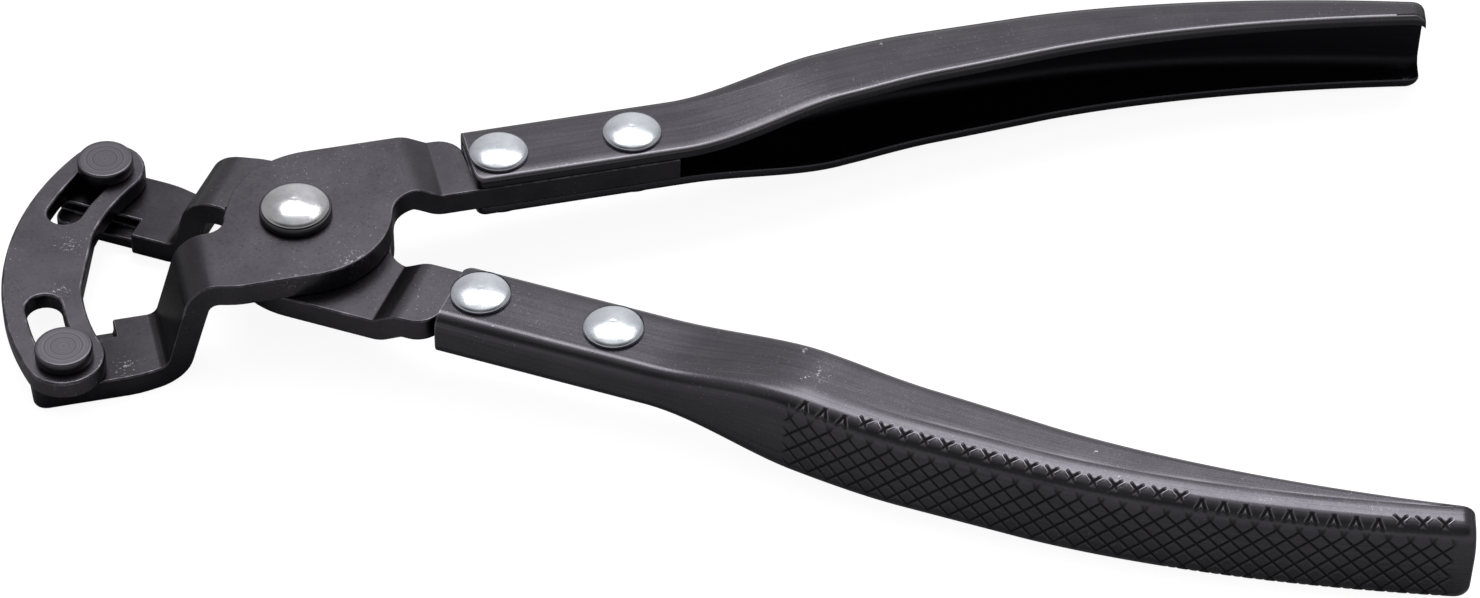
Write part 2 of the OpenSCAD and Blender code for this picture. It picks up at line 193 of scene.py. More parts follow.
def oxide_layer(tree, place, base, light, dust, streaked):
    """Colour, height and grain of the layer. The colour runs from base to light by a blend of
    wide clouds with fine grain, or with long rolling marks where the sheet is streaked, and
    pale dust lies on it in patches."""
    cloud = add(tree, "TexNoise", {"Vector": place, "Scale": per_mm(CLOUD_MM), "Detail": 4.0,
                                   "Roughness": 0.6}).outputs["Fac"]
    grain = add(tree, "TexNoise", {"Vector": place, "Scale": per_mm(GRAIN_MM), "Detail": 3.0,
                                   "Roughness": 0.65}).outputs["Fac"]
    height = add(tree, "Math", {0: grain, 1: GRAIN_DEPTH_MM * MM}, operation="MULTIPLY"
                 ).outputs[0]
    fine, share = grain, 0.3
    if streaked:
        track = add(tree, "UVMap", uv_map="drawn").outputs["UV"]
        long = add(tree, "Mapping", {"Vector": track, "Scale": (
            per_mm(STREAK_LENGTH_MM), per_mm(STREAK_WIDTH_MM), 1.0)}).outputs["Vector"]
        fine = add(tree, "TexNoise", {"Vector": long, "Scale": 1.0, "Detail": 3.0}).outputs["Fac"]
        share = 0.6
        height = add(tree, "Math", {0: fine, 1: STREAK_DEPTH_MM * MM, 2: height},
                     operation="MULTIPLY_ADD").outputs[0]
    blend = add(tree, "Math", {0: cloud, 1: 1 - share}, operation="MULTIPLY").outputs[0]
    blend = add(tree, "Math", {0: fine, 1: share, 2: blend}, operation="MULTIPLY_ADD").outputs[0]
    tone = add(tree, "MapRange", {"Value": blend, "From Min": 0.38, "From Max": 0.62}).outputs[0]
    colour = add(tree, "Mix", {"Factor": tone, "A": linear(base), "B": linear(light)},
                 data_type="RGBA").outputs["Result"]
    speck = add(tree, "TexNoise", {"Vector": place, "Scale": per_mm(DUST_MM), "Detail": 1.0}
                ).outputs["Fac"]
    speck = add(tree, "MapRange", {"Value": speck, "From Min": 0.69, "From Max": 0.77}).outputs[0]
    patch = add(tree, "TexNoise", {"Vector": place, "Scale": per_mm(PATCH_MM), "Detail": 1.0}
                ).outputs["Fac"]
    patch = add(tree, "MapRange", {"Value": patch, "From Min": 0.45, "From Max": 0.62}).outputs[0]
    speck = add(tree, "Math", {0: speck, 1: patch}, operation="MULTIPLY").outputs[0]
    colour = add(tree, "Mix", {"Factor": speck, "A": colour, "B": linear(dust)},
                 data_type="RGBA").outputs["Result"]
    return colour, height, grain


def bare_and_highlight_share(tree, place, grain, wear, scuffs):
    """Share of bare steel and painted highlight, the largest of three: noisy rubbing where wear
    and the piece's edge attribute are high, a thin line where the edge attribute is highest, which
    is worn steel that also paints a highlight along the sharpest edges, and flecks about each
    scuff, where the grain plus a strength that falls off to nothing at the reach is high."""
    rub = add(tree, "TexNoise", {"Vector": place, "Scale": per_mm(RUB_MM), "Detail": 5.0,
                                 "Roughness": 0.7}).outputs["Fac"]
    edge = add(tree, "Attribute", attribute_name="edge").outputs["Fac"]
    amount = add(tree, "Math", {0: edge, 1: wear}, operation="ADD").outputs[0]
    bare_and_highlight = add(tree, "Math", {0: rub, 1: amount}, operation="ADD").outputs[0]
    bare_and_highlight = add(tree, "MapRange", {"Value": bare_and_highlight, "From Min": 1.02, "From Max": 1.4}).outputs[0]
    # Thin bright line: worn steel that also paints the edges' highlight
    edge_line_wear_and_highlight = add(tree, "MapRange", {"Value": edge, "From Min": 0.3, "From Max": 0.55, "To Max": 0.6}
               ).outputs[0]
    bare_and_highlight = add(tree, "Math", {0: bare_and_highlight, 1: edge_line_wear_and_highlight}, operation="MAXIMUM").outputs[0]
    for x, y, z, reach, strength in scuffs:
        far = add(tree, "VectorMath", {0: place, 1: (x * MM, y * MM, z * MM)},
                  operation="DISTANCE").outputs["Value"]
        near = add(tree, "MapRange", {"Value": far, "From Max": reach * MM, "To Min": strength,
                                      "To Max": 0.0}).outputs[0]
        fleck = add(tree, "Math", {0: grain, 1: near}, operation="ADD").outputs[0]
        fleck = add(tree, "MapRange", {"Value": fleck, "From Min": 0.96, "From Max": 1.08}
                    ).outputs[0]
        bare_and_highlight = add(tree, "Math", {0: bare_and_highlight, 1: fleck}, operation="MAXIMUM").outputs[0]
    return bare_and_highlight


def oxide(name, base, light, dust, worn, roughness, wear=0.0, jaws=1.0, drawn=False, scuffs=()):
    """Black oxide on steel: a thin dark conversion layer, satin, mottled where the bath took
    unevenly, with pale dust specks, and rubbed to bare steel where an edge meets other things,
    with a painted highlight along the edges that the edge attribute marks most.
    wear is the even share of rubbing and scuffs are rubbed spots, each a place and a reach in
    millimetres and a strength. jaws is the share of the colour that the hardened jaws keep. A
    drawn sheet has rolling marks, and its groove attribute makes it darker and duller: in its
    knurl's grooves that is partly the oxide left there and partly painted shade, and over the
    channel's inside it is painted shade."""
    material, tree, shader = new_material(name)
    place = add(tree, "TexCoord").outputs["Object"]
    colour, height, grain = oxide_layer(tree, place, base, light, dust, drawn)
    bare_and_highlight = bare_and_highlight_share(tree, place, grain, wear, scuffs)
    if jaws < 1.0:
        along = add(tree, "SeparateXYZ", {"Vector": place}).outputs["X"]
        hard = add(tree, "MapRange", {"Value": along, "From Min": JAW_FULL_X * MM,
                                      "From Max": JAW_FROM_X * MM, "To Min": jaws,
                                      "To Max": 1.0}).outputs[0]
        colour = add(tree, "VectorMath", {0: colour, "Scale": hard}, operation="SCALE"
                     ).outputs["Vector"]
    colour = add(tree, "Mix", {"Factor": bare_and_highlight, "A": colour, "B": linear(worn)},
                 data_type="RGBA").outputs["Result"]
    rough = add(tree, "MapRange", {"Value": grain, "From Min": 0.3, "From Max": 0.7,
                                   "To Min": roughness - 0.03, "To Max": roughness + 0.04}
                ).outputs[0]
    rough = add(tree, "Mix", {"Factor": bare_and_highlight, "A": rough, "B": 0.45}).outputs["Result"]
    if drawn:
        # Groove attribute: oxide and painted shade in the grooves, painted shade over the
        # channel's inside
        darker_oxide_and_painted_shade = add(tree, "Attribute", attribute_name="groove").outputs["Fac"]
        rough = add(tree, "Math", {0: darker_oxide_and_painted_shade, 1: 0.3, 2: rough}, operation="MULTIPLY_ADD").outputs[0]
        colour = add(tree, "Mix", {"Factor": darker_oxide_and_painted_shade, "A": colour, "B": linear("#1f1d21")},
                     data_type="RGBA").outputs["Result"]
    finish_metal(tree, shader, colour, rough, height)
    return material


# Zinc and turned steel

# Sizes and depths in millimetres of the zinc's clouds and grain
ZINC_CLOUD_MM, ZINC_GRAIN_MM = 2.6, 0.35
ZINC_CLOUD_DEPTH_MM, ZINC_GRAIN_DEPTH_MM = 0.006, 0.002
# Spacing and depth of a lathe's rings, and the width and depth of its uneven feed
RING_MM, RING_DEPTH_MM = 0.3, 0.0005
FEED_MM, FEED_DEPTH_MM = 0.39, 0.006


def zinc_plate(name, base, light):
    """Bright zinc on a cold-headed rivet: smooth and bluish, faintly dimpled by the setting
    tool, with a few dull spots, so the dome mirrors the lamp as one clean highlight."""
    material, tree, shader = new_material(name)
    place = add(tree, "TexCoord").outputs["Object"]
    cloud = add(tree, "TexNoise", {"Vector": place, "Scale": per_mm(ZINC_CLOUD_MM), "Detail": 4.0}
                ).outputs["Fac"]
    tone = add(tree, "MapRange", {"Value": cloud, "From Min": 0.35, "From Max": 0.68}).outputs[0]
    colour = add(tree, "Mix", {"Factor": tone, "A": linear(base), "B": linear(light)},
                 data_type="RGBA").outputs["Result"]
    grain = add(tree, "TexNoise", {"Vector": place, "Scale": per_mm(ZINC_GRAIN_MM), "Detail": 3.0}
                ).outputs["Fac"]
    dull = add(tree, "MapRange", {"Value": grain, "From Min": 0.64, "From Max": 0.74}).outputs[0]
    colour = add(tree, "Mix", {"Factor": dull, "A": colour, "B": linear("#a5a8af")},
                 data_type="RGBA").outputs["Result"]
    rough = add(tree, "MapRange", {"Value": cloud, "From Min": 0.3, "From Max": 0.7,
                                   "To Min": 0.17, "To Max": 0.24}).outputs[0]
    height = add(tree, "Math", {0: cloud, 1: ZINC_CLOUD_DEPTH_MM * MM}, operation="MULTIPLY"
                 ).outputs[0]
    height = add(tree, "Math", {0: grain, 1: ZINC_GRAIN_DEPTH_MM * MM, 2: height},
                 operation="MULTIPLY_ADD").outputs[0]
    finish_metal(tree, shader, colour, rough, height)
    return material


def turned_steel(name, base, light, rough_low, rough_high):
    """Turned and blackened steel: a lathe leaves fine rings round the axis, which the UV's
    second number follows, and the rings catch the light as concentric lines."""
    material, tree, shader = new_material(name)
    track = add(tree, "UVMap", uv_map="drawn").outputs["UV"]
    out = add(tree, "SeparateXYZ", {"Vector": track}).outputs["Y"]
    feed = add(tree, "Mapping", {"Vector": track, "Scale": (2.0, per_mm(FEED_MM), 1.0)}
               ).outputs["Vector"]
    uneven = add(tree, "TexNoise", {"Vector": feed, "Scale": 1.0, "Detail": 2.0}).outputs["Fac"]
    phase = add(tree, "Math", {0: out, 1: 2 * math.pi / (RING_MM * MM)}, operation="MULTIPLY"
                ).outputs[0]
    rings = add(tree, "Math", {0: phase}, operation="SINE").outputs[0]
    tone = add(tree, "MapRange", {"Value": uneven, "From Min": 0.35, "From Max": 0.65}).outputs[0]
    colour = add(tree, "Mix", {"Factor": tone, "A": linear(base), "B": linear(light)},
                 data_type="RGBA").outputs["Result"]
    edge = add(tree, "Attribute", attribute_name="edge").outputs["Fac"]
    colour = add(tree, "Mix", {"Factor": edge, "A": colour, "B": linear("#8d8e92")},
                 data_type="RGBA").outputs["Result"]
    rough = add(tree, "MapRange", {"Value": uneven, "To Min": rough_low, "To Max": rough_high}
                ).outputs[0]
    height = add(tree, "Math", {0: rings, 1: RING_DEPTH_MM * MM}, operation="MULTIPLY").outputs[0]
    height = add(tree, "Math", {0: uneven, 1: FEED_DEPTH_MM * MM, 2: height},
                 operation="MULTIPLY_ADD").outputs[0]
    finish_metal(tree, shader, colour, rough, height)
    return material


# Rubbed spots seen in the photo: x, y, z and reach in millimetres, then strength
LINK_SCUFFS = ((-41.2, 3.8, LINK_TOP, 10.0, 0.455), (-41.5, -8.1, LINK_TOP, 8.0, 0.46))
LEVER_SCUFFS = (
    (12.5, -12.0, PLATE_TOP, 11.0, 0.5),
    (1.1, -19.5, PLATE_TOP, 11.0, 0.5),
    (-28.0, -23.0, -JAW_DEPTH, 9.0, 0.445),
)
SHEET_SCUFFS = (
    (90.3, -32.7, GRIP_H / 2, 4.5, 0.5),
    (139.9, -54.8, GRIP_H / 2, 1.6, 0.55),
    (101.5, 48.9, GRIP_H / 2, 2.5, 0.5),
    (174.9, -62.7, GRIP_H / 2, 2.0, 0.5),
    (93.0, -40.0, GRIP_H / 2, 10.0, 0.435),
)

PLATE_OXIDE = oxide("black_oxide_on_rolled_plate", "#454348", "#524f55", "#8a888e", "#98969c",
                    0.3, scuffs=LINK_SCUFFS)
LEVER_OXIDE = oxide("black_oxide_on_hardened_jaws", "#454348", "#524f55", "#8a888e", "#98969c",
                    0.3, jaws=0.5, scuffs=LEVER_SCUFFS)
PLATE_EDGE = oxide("black_oxide_rubbed_at_the_edge", "#454348", "#55525a", "#8a888e", "#95939a",
                   0.32, wear=0.55)
SHEET_OXIDE = oxide("black_oxide_on_pressed_sheet", "#4a484e", "#565459", "#7c7a80", "#a5a3a9",
                    0.25, drawn=True, scuffs=SHEET_SCUFFS)
ZINC = zinc_plate("bright_zinc_on_headed_rivet", "#c3c7ce", "#d0d4db")
DULL_ZINC = zinc_plate("duller_zinc_on_pivot_rivet", "#b3b3b7", "#c4c4c8")
TURNED_PIN = turned_steel("turned_and_blackened_pin", "#4c494f", "#615e65", 0.28, 0.38)
WASHER_BLACK = turned_steel("blackened_washer", "#2c2a2e", "#363439", 0.4, 0.5)


# Mesh building


def mesh_object(name, points_mm, faces, uv, attributes, finish):
    """Smooth mesh from points in millimetres, lists of corners, and a UV in millimetres and
    attributes given per point."""
    mesh = bpy.data.meshes.new(name)
    mesh.from_pydata((np.asarray(points_mm) * MM).tolist(), [], faces)
    layer = mesh.uv_layers.new(name="drawn")
    corners = np.empty(len(mesh.loops), int)
    mesh.loops.foreach_get("vertex_index", corners)
    layer.data.foreach_set("uv", (np.asarray(uv)[corners] * MM).ravel())
    for key, values in attributes.items():
        mesh.attributes.new(key, "FLOAT", "POINT").data.foreach_set(
            "value", np.asarray(values, np.float32).ravel()
        )
    mesh.shade_smooth()
    mesh.materials.append(finish)
    obj = bpy.data.objects.new(name, mesh)
    bpy.context.scene.collection.objects.link(obj)
    return obj


def fit_piece(piece, node, body):
    """Puts a piece in the place of a frame node, on the body that carries it."""
    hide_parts(node)
    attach(piece, body)


def lever_to_frame(points, lower):
    """Turns points from a lever's axes by the opening angle; the lower side is its mirror."""
    u, v, z = points[..., 0], points[..., 1], points[..., 2]
    x = u * math.cos(OPEN_ANGLE) - v * math.sin(OPEN_ANGLE)
    y = u * math.sin(OPEN_ANGLE) + v * math.cos(OPEN_ANGLE)
    return np.stack([x, -y if lower else y, z], axis=-1)


def smooth(t):
    """Smooth step from 0 to 1: three t squared less two t cubed."""
    t = np.clip(t, 0, 1)
    return t * t * (3 - 2 * t)


def rounding(r, x):
    """Drop of a quarter circle of radius r at x from its centre: r less root of r² less x²."""
    return r - np.sqrt(r * r - np.clip(x, 0, r) ** 2)


def arc_points(cx, cz, r, start, stop, n):
    """Points on a circle in a profile plane, angles in degrees from the radius axis."""
    t = np.radians(np.linspace(start, stop, n))
    return np.stack([cx + r * np.cos(t), cz + r * np.sin(t)], -1)


# Levers and link

DOUBLES_MM, FLAT_ANGLE, SHARP_ANGLE = 0.002, math.radians(0.4), math.radians(30)


def softened_copy(node, width_mm, segments, finish):
    """Copy of a frame node with its doubles merged and flat areas made one face, then a small
    rounding on each edge, whose faces take the rubbed finish."""
    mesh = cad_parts[node].data.copy()
    mesh.materials.clear()
    work = bmesh.new()
    work.from_mesh(mesh)
    bmesh.ops.remove_doubles(work, verts=work.verts, dist=DOUBLES_MM * MM)
    bmesh.ops.dissolve_limit(work, angle_limit=FLAT_ANGLE, verts=work.verts, edges=work.edges)
    work.to_mesh(mesh)
    work.free()
    mesh.shade_smooth()
    mesh.materials.append(finish)
    mesh.materials.append(PLATE_EDGE)
    obj = bpy.data.objects.new(node + "_finished", mesh)
    bpy.context.scene.collection.objects.link(obj)
    softened = obj.modifiers.new("rounding", "BEVEL")
    softened.width = width_mm * MM
    softened.segments = segments
    softened.limit_method = "ANGLE"
    softened.angle_limit = SHARP_ANGLE
    softened.material = 1
    softened.use_clamp_overlap = False
    shaded = obj.modifiers.new("flat_shading", "WEIGHTED_NORMAL")
    shaded.keep_sharp = True
    return obj


# Handles

# Die in millimetres: the knurl's pitch, the mesh's steps in one pitch, its depth, the run along
# the back from which rows count, and its first and last place
KNURL_PITCH, KNURL_STEPS, KNURL_DEPTH, KNURL_START = 3.653, 16, 0.24, 67.5
KNURL_FROM, KNURL_TO = 97.0, 210.9
# The corner's marks start as arches, whose legs end at their crossing. Where they turn to
# crosses, which run past it, back to arches and to crosses again
CROSS_FROM, ARCH_FROM, CROSS_AGAIN = 108.4, 167.3, 199.5
# The last column of each kind of mark, those where its legs begin, and those where the back's
# grooves fade
ARCH_REACH, CROSS_REACH = 33, 37
ARCH_LEGS, CROSS_LEGS, WEB_FADE = (27.8, 29.0), (29.8, 31.0), (23.5, 25, 27)
# Where the near handle's lower corner starts to be cut too, and the burr's share of the depth
LOW_CUT_FROM, LOW_CUT_FADE, BURR_SHARE = 163, 4, 0.25
# Fine steps that measure the back's length, rows before the flare and along it, and the gap
# between the grip's last row and the end's rounding
FINE_STEPS, PLAIN_ROWS, FLARE_ROWS, LAST_ROW_GAP = 20001, 14, 27, 0.3
# Columns of the section: the web on each side of its middle, a corner, the flange's flat, its
# lip, its bead, its underside and the inside corner, and the number that the columns of the
# web's inside have, which is past every groove
WEB_COLS, ARC_COLS, FLAT_COLS, LIP_COLS = 20, 18, 10, 4
BEAD_COLS, UNDER_COLS, INNER_COLS, INSIDE = 3, 3, 4, 99
BEYOND_ARC = FLAT_COLS + LIP_COLS + BEAD_COLS + UNDER_COLS + INNER_COLS
HALF_COLS = ARC_COLS + BEYOND_ARC
# The corner's columns as shares of its quarter turn: wide along the marks' legs and close past
# their crossings
ARC_SHARE = np.interp(np.arange(1, ARC_COLS + 1), [0, 4, 12, 16, 18], [0, 0.151, 0.724, 0.867, 1])
ARC_TURN = np.radians(90) * ARC_SHARE
# The flange's small bead, the least gap from it to the lip, how far short of its end the
# handle's last row is, and how far the die lowers the corner
BEAD_R, LIP_GAP, END_GAP, CORNER_DROP = 0.25, 0.05, 0.04, 0.09
# The crease: its distance past the corner at the root and on the grip, where it begins, the
# length over which it deepens, and its waves along the handle, in radians per millimetre
CREASE_ROOT, CREASE_GRIP, CREASE_FROM, CREASE_FADE, CREASE_WAVE = 0.3, 2.1, 106, 14, 0.31
# Wear and painted highlight at a cut end and its reach, wear and a painted glint on the burr, and
# a painted highlight line along the flange, with the line's stretch, its fade and its column past
# the corner
END_WEAR_AND_HIGHLIGHT, END_WEAR_LEN, BURR_WEAR_AND_GLINT, PAINTED_CREASE_HIGHLIGHT = 0.45, 0.5, 0.75, 0.42
CREASE_HIGHLIGHT_FROM, CREASE_HIGHLIGHT_TO, CREASE_HIGHLIGHT_FADE, CREASE_HIGHLIGHT_COL = 66, 98, 8, 3
# Painted shade over the channel's inside, which the groove attribute carries, and the row whose
# section gives the UV's second number
PAINTED_INSIDE_SHADE, TRACK_ROW = 0.8, 200


def web_line(u):
    """Back of the channel: straight, bowed out by a smooth step, then hooked in by a power."""
    hook = np.maximum(0, u - HOOK_START) / (HANDLE_END - HOOK_START)
    return WEB_V + GRIP_BOW * smooth((u - FLARE_START) / BOW_LEN) - HOOK_IN * hook**HOOK_POWER


def flare(u):
    """Smooth step from 0 at the rivets to 1 along the grip."""
    return smooth((u - FLARE_START) / FLARE_LEN)


def flange_width(u):
    """Root width, less the front corner's rounding, less a taper that grows by a power."""
    start = FLARE_START + FLARE_LEN + TAPER_DELAY
    taper = (np.maximum(0, u - start) / (HANDLE_END - start)) ** TAPER_POWER
    return (
        FLANGE_ROOT
        - rounding(FRONT_R, HANDLE_START + FRONT_R - u)
        - (FLANGE_ROOT - FLANGE_END) * taper
    )


def half_height(u):
    """Half the outside height: from the root's to the grip's by the flare."""
    return ROOT_HALF_H + (GRIP_H / 2 - ROOT_HALF_H) * flare(u)


def end_height(u):
    """Half the outside height less the rounding of the handle's end."""
    return half_height(u) - rounding(END_R, u - HANDLE_END + END_R)


def corner_radius(u):
    """Outside radius of the channel's corners, from the root's to the grip's by the flare."""
    return CORNER_R + (GRIP_CORNER_R - CORNER_R) * flare(u)


def inner_radius(u):
    """Inside radius of the corners, which on the grip is the outside one less the sheet."""
    return INNER_CORNER_R + (GRIP_CORNER_R - SHEET - INNER_CORNER_R) * flare(u)


def channel_stations():
    """Rows along the handle: the grip's rows are a sixteenth of the knurl's pitch apart along
    the back's own length, so that each groove runs through the corners of the mesh. The front
    and the end have rows at angles of their rounding."""
    fine = np.linspace(HANDLE_START, HANDLE_END, FINE_STEPS)
    run = np.concatenate([[0], np.cumsum(np.hypot(np.diff(fine), np.diff(web_line(fine))))])
    step = KNURL_PITCH / KNURL_STEPS
    first = np.interp(KNURL_FROM, fine, run)
    first = KNURL_START + step * round((first - KNURL_START) / step)
    last = np.interp(HANDLE_END - END_R - LAST_ROW_GAP, fine, run)
    grip = np.interp(np.arange(first, last, step), run, fine)
    front_turn = np.radians([0, 18, 36, 54, 72, 90])
    front = HANDLE_START + FRONT_R * (1 - np.cos(front_turn))
    plain = np.linspace(FRONT_R + HANDLE_START, FLARE_START, PLAIN_ROWS)[1:]
    rise = np.linspace(FLARE_START, grip[0], FLARE_ROWS)[1:-1]
    end_turn = np.radians([0, 12, 24, 36, 48, 60, 70, 78, 84, 88])
    end = HANDLE_END - END_GAP - END_R * (1 - np.sin(end_turn))
    u = np.concatenate([front, plain, rise, grip, end])
    length = np.interp(u, fine, run)
    return u, (length - KNURL_START) / step, length


def groove_steps(i, j):
    """Steps of the mesh from the nearest groove of each family, at row i and column j: the
    families lie where i plus j, and i less j, are whole pitches."""
    half = KNURL_STEPS / 2
    one = np.abs((i + j + half) % KNURL_STEPS - half)
    two = np.abs((i - j + half) % KNURL_STEPS - half)
    return one, two


def knurl(rows, cols, u, marked):
    """Depth of the crossed grooves and burr beside the corner's marks, both from 0 to 1, which
    fall off within a few steps of the mesh. The die is set off to one side, so the corner on
    the marked side (1 top, -1 bottom) has marks, and the other corner is cut only on the near
    handle towards its end."""
    i, j = np.meshgrid(np.round(rows), cols, indexing="ij")
    out = np.abs(j)
    beside = np.minimum(*groove_steps(i, j))
    depth = np.interp(beside, [0, 1, 2, 2.5], [1.0, 0.62, 0.06, 0.0])
    burr = np.interp(beside, [1.2, 2.2, 3.4], [0.0, 1.0, 0.0])
    crosses = (smooth(u - CROSS_FROM) - smooth(u - ARCH_FROM) + smooth(u - CROSS_AGAIN))[:, None]
    reach = ARCH_REACH + (CROSS_REACH - ARCH_REACH) * crosses
    ends = smooth(u - KNURL_FROM) * smooth(KNURL_TO - u)
    inside = smooth((reach - out) / 1.2) * ends[:, None]
    cross = np.interp(out, CROSS_LEGS, [0.04, 1.0])
    arch = np.interp(out, ARCH_LEGS, [0.04, 1.0])
    marks = np.where(crosses > 0.5, cross, arch)
    web = np.interp(out, WEB_FADE, [1, 0.7, 0.04])
    low_cut = (marked == 1) * smooth((u - LOW_CUT_FROM) / LOW_CUT_FADE)[:, None]
    other = np.maximum(np.floor(web + 0.2), low_cut)
    on_marked = j * marked > 0
    kept = np.where(on_marked, np.maximum(marks, web), other)
    return depth * inside * kept, burr * inside * marks * on_marked


def upper_half(u, creased):
    """Upper half of the section at each row, as d inwards from the back and z up: a quarter
    circle outside, the flat, a rounded lip, a small bead, the underside, a quarter circle
    inside and the web's inside. At the end the underside drops half as far as the top. The
    die lowers the corner a little and, where creased, presses a crease beside it."""
    w, full, h, swell = (f(u)[:, None] for f in (flange_width, half_height, end_height, flare))
    r, inner_r = corner_radius(u)[:, None], inner_radius(u)[:, None]
    under = (full + h) / 2 - SHEET
    lip_r = np.minimum(EDGE_R, h - under - BEAD_R - LIP_GAP)
    arc_d = r - r * np.cos(ARC_TURN)
    arc_z = h - r + r * np.sin(ARC_TURN) - CORNER_DROP * swell * ARC_SHARE
    crease = CREASE_ROOT + (CREASE_GRIP - CREASE_ROOT) * swell
    near = r + crease * np.array([0.3, 0.65, 0.9, 1.0, 1.1])
    rest = w - EDGE_R - near[:, 4:]
    flat_d = np.concatenate([near, near[:, 4:] + rest * np.array([0.1, 0.3, 0.6, 0.85, 1.0])], 1)
    wave = 0.7 + 0.3 * np.sin(CREASE_WAVE * u)
    pressed = creased * (smooth((u - CREASE_FROM) / CREASE_FADE) * wave)[:, None]
    dip = swell * np.array([0.03, 0.005, 0, 0, 0, 0, 0, 0, 0, 0])
    dip = dip + pressed * np.array([0, 0, 0.01, 0.045, 0.014, 0.004, 0, 0, 0, 0])
    lip = np.radians([22.5, 45, 67.5, 90])
    bead = np.radians([0, 45, 90])
    under_d = w - BEAD_R + (inner_r + SHEET - w + BEAD_R) * np.array([0.3, 0.7, 1.0])
    d = np.concatenate(
        [
            arc_d,
            flat_d,
            w - lip_r + lip_r * np.sin(lip),
            w - BEAD_R + BEAD_R * np.cos(bead),
            under_d,
            SHEET + inner_r - inner_r * np.sin(lip),
        ],
        1,
    )
    z = np.concatenate(
        [
            arc_z,
            h - dip,
            h - lip_r + lip_r * np.cos(lip),
            under + BEAD_R - BEAD_R * np.sin(bead),
            under * np.ones(UNDER_COLS),
            under - inner_r + inner_r * np.cos(lip),
        ],
        1,
    )
    return d, z, (under - inner_r) * np.array([0.6, 0.2])


def both_halves(web, upper, sign=1):
    """Values for all columns: one for the web, the upper half's, none for the web's inside, and
    the upper half's again below, times the sign."""
    return np.concatenate(
        [np.full(2 * WEB_COLS + 1, web), upper, np.zeros(4), sign * upper[::-1]]
    )


def channel_section(u, marked):
    """Closed section of the channel for each row, from the web's lower corner up the back,
    round the top flange, down the inside and round the bottom flange, with each column's
    number, which counts outwards from the web's middle and is negative below."""
    half_d, top_z, inner_z = upper_half(u, marked == 1)
    bottom_z = upper_half(u, marked == -1)[1]
    web_cols = np.arange(-WEB_COLS, WEB_COLS + 1)
    half_cols = WEB_COLS + np.arange(1, HALF_COLS + 1)
    back_z = (end_height(u) - corner_radius(u))[:, None] * (web_cols / WEB_COLS)
    inside_d = np.full((len(u), 4), SHEET)
    d = np.concatenate([0 * back_z, half_d, inside_d, half_d[:, ::-1]], 1)
    z = np.concatenate([back_z, top_z, inner_z, -inner_z[:, ::-1], -bottom_z[:, ::-1]], 1)
    inside_cols = [INSIDE, INSIDE, -INSIDE, -INSIDE]
    cols = np.concatenate([web_cols, half_cols, inside_cols, -half_cols[::-1]])
    return d, z, cols


def across_sheet(n_cols):
    """Pairs each outside column, from the web's middle to the flange's lip, with the inside
    column across the sheet, and mirrors the pairs for the lower half."""
    n_back = 2 * WEB_COLS + 1
    lip = n_back + ARC_COLS + FLAT_COLS + LIP_COLS
    outside = np.arange(WEB_COLS, lip + 1)
    inside = np.arange(n_back + HALF_COLS + 1, lip - 1, -1)
    inside = inside[np.round(np.linspace(0, inside.size - 1, outside.size)).astype(int)]
    below_out = (2 * WEB_COLS - outside) % n_cols
    below_in = 2 * (n_back + HALF_COLS) + 3 - inside
    outside = np.concatenate([below_out[::-1], outside[1:]])
    return outside, np.concatenate([below_in[::-1], inside[1:]])


def channel_faces(rows, cols):
    """Triangles of the closed grid. Each cell is split along the groove family that passes
    nearest, so both families run clean, and strips across the sheet close the ends."""
    index = np.arange(len(rows) * len(cols)).reshape(len(rows), len(cols))
    a, b = index[:-1], index[1:]
    a2, b2 = np.roll(a, -1, axis=1), np.roll(b, -1, axis=1)
    one, two = groove_steps(np.round(rows)[:-1, None] + 0.5, cols[None, :] + 0.5)
    along = one < two
    faces = [
        np.stack([a, b, a2], -1)[along],
        np.stack([b, b2, a2], -1)[along],
        np.stack([a, b, b2], -1)[~along],
        np.stack([a, b2, a2], -1)[~along],
    ]
    outside, inside = across_sheet(len(cols))
    for row, way in ((index[0], 1), (index[-1], -1)):
        out, back = row[outside], row[inside]
        strip = np.stack([out[:-1], out[1:], back[1:]], -1)
        other = np.stack([out[:-1], back[1:], back[:-1]], -1)
        cap = np.concatenate([strip, other])
        whole = (cap[:, 0] != cap[:, 1]) & (cap[:, 1] != cap[:, 2]) & (cap[:, 0] != cap[:, 2])
        faces.append(cap[whole][:, ::way])
    return np.concatenate(faces)


def handle_wear_and_highlights(u, cols, burr):
    """Edge attribute, the largest of the flange's lip, the cut ends, which fade as a bell curve,
    and the marks' burr: wear, which also paints a highlight on the lip and the ends and a glint on
    the marks' rims. One column of the flange has a painted highlight line where the flare is."""
    lip = np.zeros(HALF_COLS)
    at = ARC_COLS + FLAT_COLS - 1
    # Lighter lip: worn steel that also paints the highlight along the lip's rounding
    lip[at : at + LIP_COLS + 2] = [0.25, 0.55, 0.38, 0.25, 0.15, 0.1]
    front, end = (u - HANDLE_START) / END_WEAR_LEN, (HANDLE_END - u) / END_WEAR_LEN
    ends = np.exp(-(front**2)) + np.exp(-(end**2))
    edge = np.maximum(both_halves(0, lip)[None, :], END_WEAR_AND_HIGHLIGHT * ends[:, None])
    # The burr is worn steel and also a painted glint on the marks' rims
    edge = np.maximum(edge, BURR_WEAR_AND_GLINT * burr)
    # Painted highlight line along one column of the flange
    begin, stop = (u - CREASE_HIGHLIGHT_FROM) / CREASE_HIGHLIGHT_FADE, (CREASE_HIGHLIGHT_TO - u) / CREASE_HIGHLIGHT_FADE
    painted_crease_highlight = PAINTED_CREASE_HIGHLIGHT * (smooth(begin) * smooth(stop))
    edge[:, np.abs(cols) == WEB_COLS + ARC_COLS + CREASE_HIGHLIGHT_COL] = painted_crease_highlight[:, None]
    return edge


